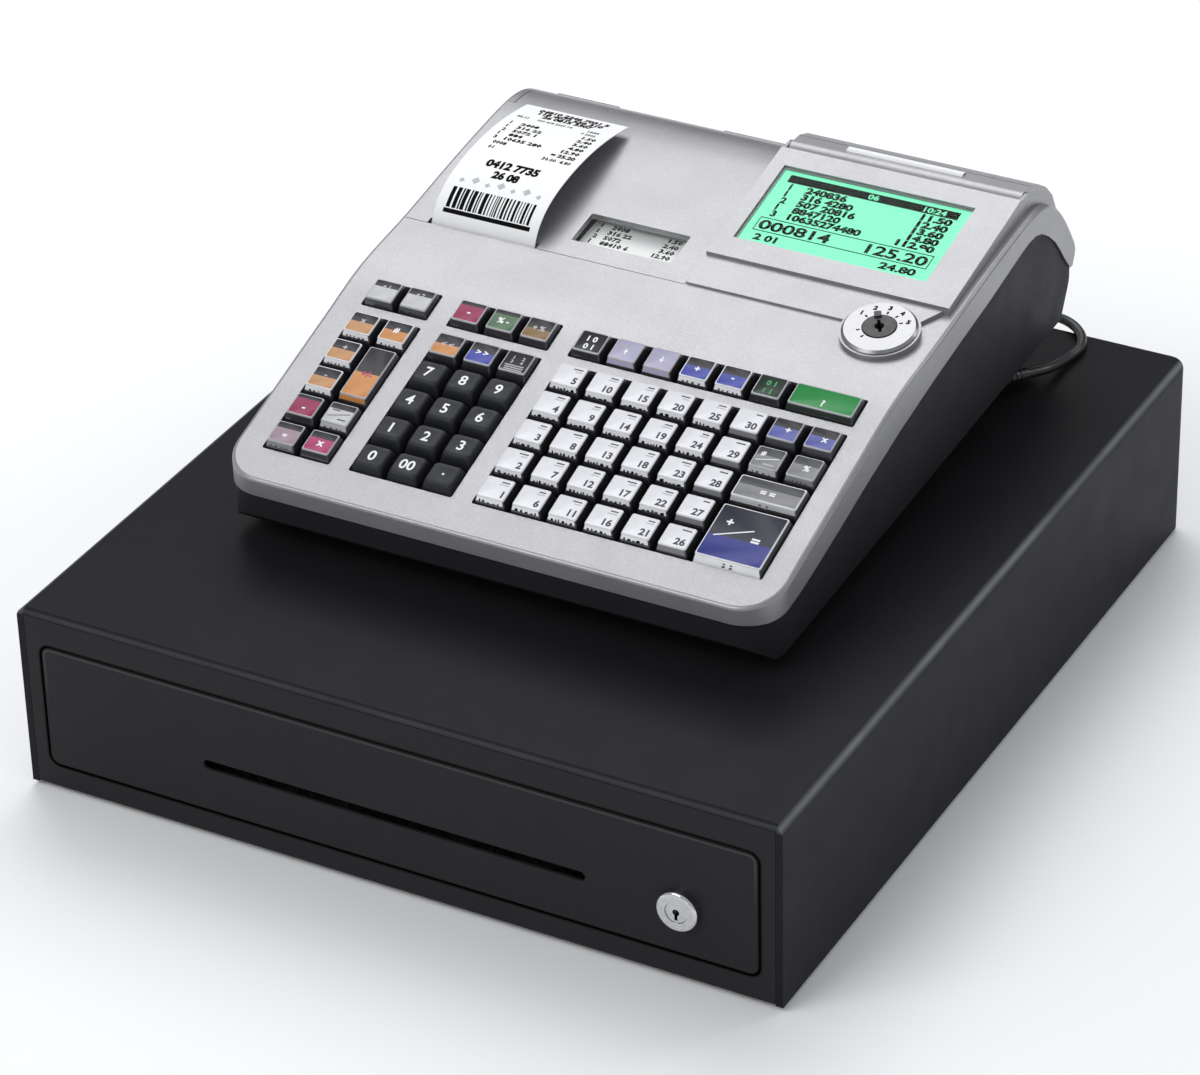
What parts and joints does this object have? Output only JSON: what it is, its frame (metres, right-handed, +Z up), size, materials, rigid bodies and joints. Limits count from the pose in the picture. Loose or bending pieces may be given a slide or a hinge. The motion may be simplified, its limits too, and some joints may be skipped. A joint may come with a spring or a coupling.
{
  "type": "electronic cash register on a cash drawer",
  "caption": "Cash register with keypad, receipt printer, lit operator display and tilting customer display, on a steel drawer with lock, slip slot and a till tray for coins and notes.",
  "frame": {"origin": "on the floor under the middle of the drawer cabinet, at the level of the feet", "axes": "+X to the operator's right, +Y from the operator towards the rear, +Z up"},
  "size_m": [0.4, 0.5685, 0.215],
  "materials": {
    "cabinet_paint": "satin powder coat",
    "plated_steel": "bright zinc plate",
    "rubber": "soft matt rubber",
    "cord_jacket": "satin flexible sheath",
    "chrome": "polished",
    "tray_plastic": "moulded, matt",
    "case_black": "fine texture",
    "case_silver": "silver metallic paint, satin",
    "display_silver": "silver metallic paint, satin",
    "clear_lens": "clear",
    "smoked_lens": "smoked, gloss",
    "lcd_face": "lit green display face",
    "paper": "thermal paper",
    "frame_plastic": "moulded",
    "circuit_green": "solder mask",
    "switch_black": "gloss",
    "plug_black": "moulded",
    "key_black": "clear cap over a dark insert",
    "key_colour": "clear cap over coloured inserts",
    "key_numeral": "solid dark key",
    "key_white": "clear cap over a white insert",
    "key_green": "clear cap over a green insert",
    "key_payment": "clear cap over a blue insert",
    "key_grey": "clear cap over a grey insert"
  },
  "bodies": {
    "cabinet": {"drawer_cabinet": "cabinet_paint", "cabinet_floor": "plated_steel", "front_frame": "cabinet_paint", "cabinet_feet": "rubber", "cabinet_rails": "plated_steel", "latch_solenoid": "plated_steel", "register_base": "case_black", "register_feet": "rubber", "top_cover": "case_silver", "printer_frame": "frame_plastic", "journal_paper": "paper", "display_housing": "display_silver", "lcd_window": "clear_lens", "lcd_panel": "lcd_face", "mode_ring": "chrome", "key_plate": "frame_plastic", "circuit_boards": "circuit_green", "case_screws": "plated_steel", "strain_relief": "cord_jacket", "mains_cord": "cord_jacket", "cord_coil": "cord_jacket", "mains_plug": "plug_black"},
    "latch_bolt": {"latch_bolt": "plated_steel"},
    "drawer": {"drawer_front": "cabinet_paint", "drawer_box": "plated_steel", "drawer_rails": "plated_steel", "till_tray": "tray_plastic", "clip_rod": "plated_steel", "lock_barrel": "chrome"},
    "note_clip_1": {"note_clip_1": "tray_plastic"},
    "note_clip_2": {"note_clip_2": "tray_plastic"},
    "note_clip_3": {"note_clip_3": "tray_plastic"},
    "note_clip_4": {"note_clip_4": "tray_plastic"},
    "lock_plug": {"lock_plug": "chrome", "lock_cam": "plated_steel"},
    "printer_cover": {"printer_cover": "case_silver", "journal_window": "clear_lens", "tear_bar": "plated_steel", "receipt_paper": "paper"},
    "receipt_roll": {"receipt_roll": "paper"},
    "journal_roll": {"journal_roll": "paper"},
    "platen_roller": {"platen_roller": "rubber"},
    "rear_display": {"rear_display": "display_silver", "rear_display_window": "smoked_lens"},
    "mode_rotor": {"mode_rotor": "switch_black"},
    "feed_keys": {"feed_keys": "key_grey"},
    "left_keys": {"left_keys": "key_colour"},
    "tall_key": {"tall_key": "key_colour"},
    "correction_keys": {"correction_keys": "key_colour"},
    "entry_keys": {"entry_keys": "key_colour"},
    "number_keys_high": {"number_keys_high": "key_numeral"},
    "number_keys_low": {"number_keys_low": "key_numeral"},
    "upper_keys": {"upper_keys": "key_black"},
    "wide_key": {"wide_key": "key_green"},
    "item_keys_left": {"item_keys_left": "key_white"},
    "item_keys_middle": {"item_keys_middle": "key_white"},
    "item_keys_right": {"item_keys_right": "key_white"},
    "payment_keys": {"payment_keys": "key_payment"},
    "subtotal_key": {"subtotal_key": "key_grey"},
    "total_key": {"total_key": "key_payment"}
  },
  "joints": [
    {"name": "latch_slide", "type": "slide", "parent": "cabinet", "child": "latch_bolt", "axis": [0, 0, 1], "range_m": [0, 0.006]},
    {"name": "drawer_slide", "type": "slide", "parent": "cabinet", "child": "drawer", "axis": [0, -1, 0], "range_m": [0, 0.31]},
    {"name": "lock_turn", "type": "hinge", "parent": "drawer", "child": "lock_plug", "pos_m": [0.149, -0.225, 0.041], "axis": [0, -1, 0], "range_deg": [0, 90]},
    {"name": "printer_cover_hinge", "type": "hinge", "parent": "cabinet", "child": "printer_cover", "pos_m": [-0.0667, 0.1876, 0.1916], "axis": [-1, 0, 0], "range_deg": [0, 75]},
    {"name": "receipt_roll_spin", "type": "hinge", "parent": "cabinet", "child": "receipt_roll", "pos_m": [-0.1018, 0.14, 0.15], "axis": [1, 0, 0], "continuous": true},
    {"name": "journal_roll_spin", "type": "hinge", "parent": "cabinet", "child": "journal_roll", "pos_m": [-0.0292, 0.143, 0.15], "axis": [1, 0, 0], "continuous": true},
    {"name": "platen_spin", "type": "hinge", "parent": "cabinet", "child": "platen_roller", "pos_m": [-0.0655, 0.064, 0.172], "axis": [1, 0, 0], "continuous": true},
    {"name": "rear_display_tilt", "type": "hinge", "parent": "cabinet", "child": "rear_display", "pos_m": [0.0769, 0.159, 0.2073], "axis": [1, 0, 0], "range_deg": [0, 60]},
    {"name": "mode_turn", "type": "hinge", "parent": "cabinet", "child": "mode_rotor", "pos_m": [0.1172, 0.0446, 0.189], "axis": [0, -0.2079, 0.9781], "range_deg": [-90, 90]},
    {"name": "note_clip_1_lift", "type": "hinge", "parent": "drawer", "child": "note_clip_1", "pos_m": [-0.1284, 0.097, 0.071], "axis": [-1, 0, 0], "range_deg": [0, 42], "stiffness_Nm_per_rad": 0.02, "springref_deg": -17.19},
    {"name": "note_clip_2_lift", "type": "hinge", "parent": "drawer", "child": "note_clip_2", "pos_m": [-0.0428, 0.097, 0.071], "axis": [-1, 0, 0], "range_deg": [0, 42], "stiffness_Nm_per_rad": 0.02, "springref_deg": -17.19},
    {"name": "note_clip_3_lift", "type": "hinge", "parent": "drawer", "child": "note_clip_3", "pos_m": [0.0428, 0.097, 0.071], "axis": [-1, 0, 0], "range_deg": [0, 42], "stiffness_Nm_per_rad": 0.02, "springref_deg": -17.19},
    {"name": "note_clip_4_lift", "type": "hinge", "parent": "drawer", "child": "note_clip_4", "pos_m": [0.1284, 0.097, 0.071], "axis": [-1, 0, 0], "range_deg": [0, 42], "stiffness_Nm_per_rad": 0.02, "springref_deg": -17.19},
    {"name": "feed_keys_press", "type": "slide", "parent": "cabinet", "child": "feed_keys", "axis": [0, 0.301, -0.9536], "range_m": [0, 0.003], "stiffness_N_per_m": 420, "springref_m": -0.001},
    {"name": "left_keys_press", "type": "slide", "parent": "cabinet", "child": "left_keys", "axis": [0, 0.301, -0.9536], "range_m": [0, 0.003], "stiffness_N_per_m": 958, "springref_m": -0.001},
    {"name": "tall_key_press", "type": "slide", "parent": "cabinet", "child": "tall_key", "axis": [0, 0.301, -0.9536], "range_m": [0, 0.003], "stiffness_N_per_m": 250, "springref_m": -0.001},
    {"name": "correction_keys_press", "type": "slide", "parent": "cabinet", "child": "correction_keys", "axis": [0, 0.301, -0.9536], "range_m": [0, 0.003], "stiffness_N_per_m": 570, "springref_m": -0.001},
    {"name": "entry_keys_press", "type": "slide", "parent": "cabinet", "child": "entry_keys", "axis": [0, 0.301, -0.9536], "range_m": [0, 0.003], "stiffness_N_per_m": 570, "springref_m": -0.001},
    {"name": "number_keys_high_press", "type": "slide", "parent": "cabinet", "child": "number_keys_high", "axis": [0, 0.301, -0.9536], "range_m": [0, 0.003], "stiffness_N_per_m": 958, "springref_m": -0.001},
    {"name": "number_keys_low_press", "type": "slide", "parent": "cabinet", "child": "number_keys_low", "axis": [0, 0.301, -0.9536], "range_m": [0, 0.003], "stiffness_N_per_m": 958, "springref_m": -0.001},
    {"name": "upper_keys_press", "type": "slide", "parent": "cabinet", "child": "upper_keys", "axis": [0, 0.301, -0.9536], "range_m": [0, 0.003], "stiffness_N_per_m": 958, "springref_m": -0.001},
    {"name": "wide_key_press", "type": "slide", "parent": "cabinet", "child": "wide_key", "axis": [0, 0.301, -0.9536], "range_m": [0, 0.003], "stiffness_N_per_m": 250, "springref_m": -0.001},
    {"name": "item_keys_left_press", "type": "slide", "parent": "cabinet", "child": "item_keys_left", "axis": [0, 0.301, -0.9536], "range_m": [0, 0.003], "stiffness_N_per_m": 958, "springref_m": -0.001},
    {"name": "item_keys_middle_press", "type": "slide", "parent": "cabinet", "child": "item_keys_middle", "axis": [0, 0.301, -0.9536], "range_m": [0, 0.003], "stiffness_N_per_m": 958, "springref_m": -0.001},
    {"name": "item_keys_right_press", "type": "slide", "parent": "cabinet", "child": "item_keys_right", "axis": [0, 0.301, -0.9536], "range_m": [0, 0.003], "stiffness_N_per_m": 958, "springref_m": -0.001},
    {"name": "payment_keys_press", "type": "slide", "parent": "cabinet", "child": "payment_keys", "axis": [0, 0.301, -0.9536], "range_m": [0, 0.003], "stiffness_N_per_m": 707, "springref_m": -0.001},
    {"name": "subtotal_key_press", "type": "slide", "parent": "cabinet", "child": "subtotal_key", "axis": [0, 0.301, -0.9536], "range_m": [0, 0.003], "stiffness_N_per_m": 250, "springref_m": -0.001},
    {"name": "total_key_press", "type": "slide", "parent": "cabinet", "child": "total_key", "axis": [0, 0.301, -0.9536], "range_m": [0, 0.003], "stiffness_N_per_m": 250, "springref_m": -0.001}
  ]
}
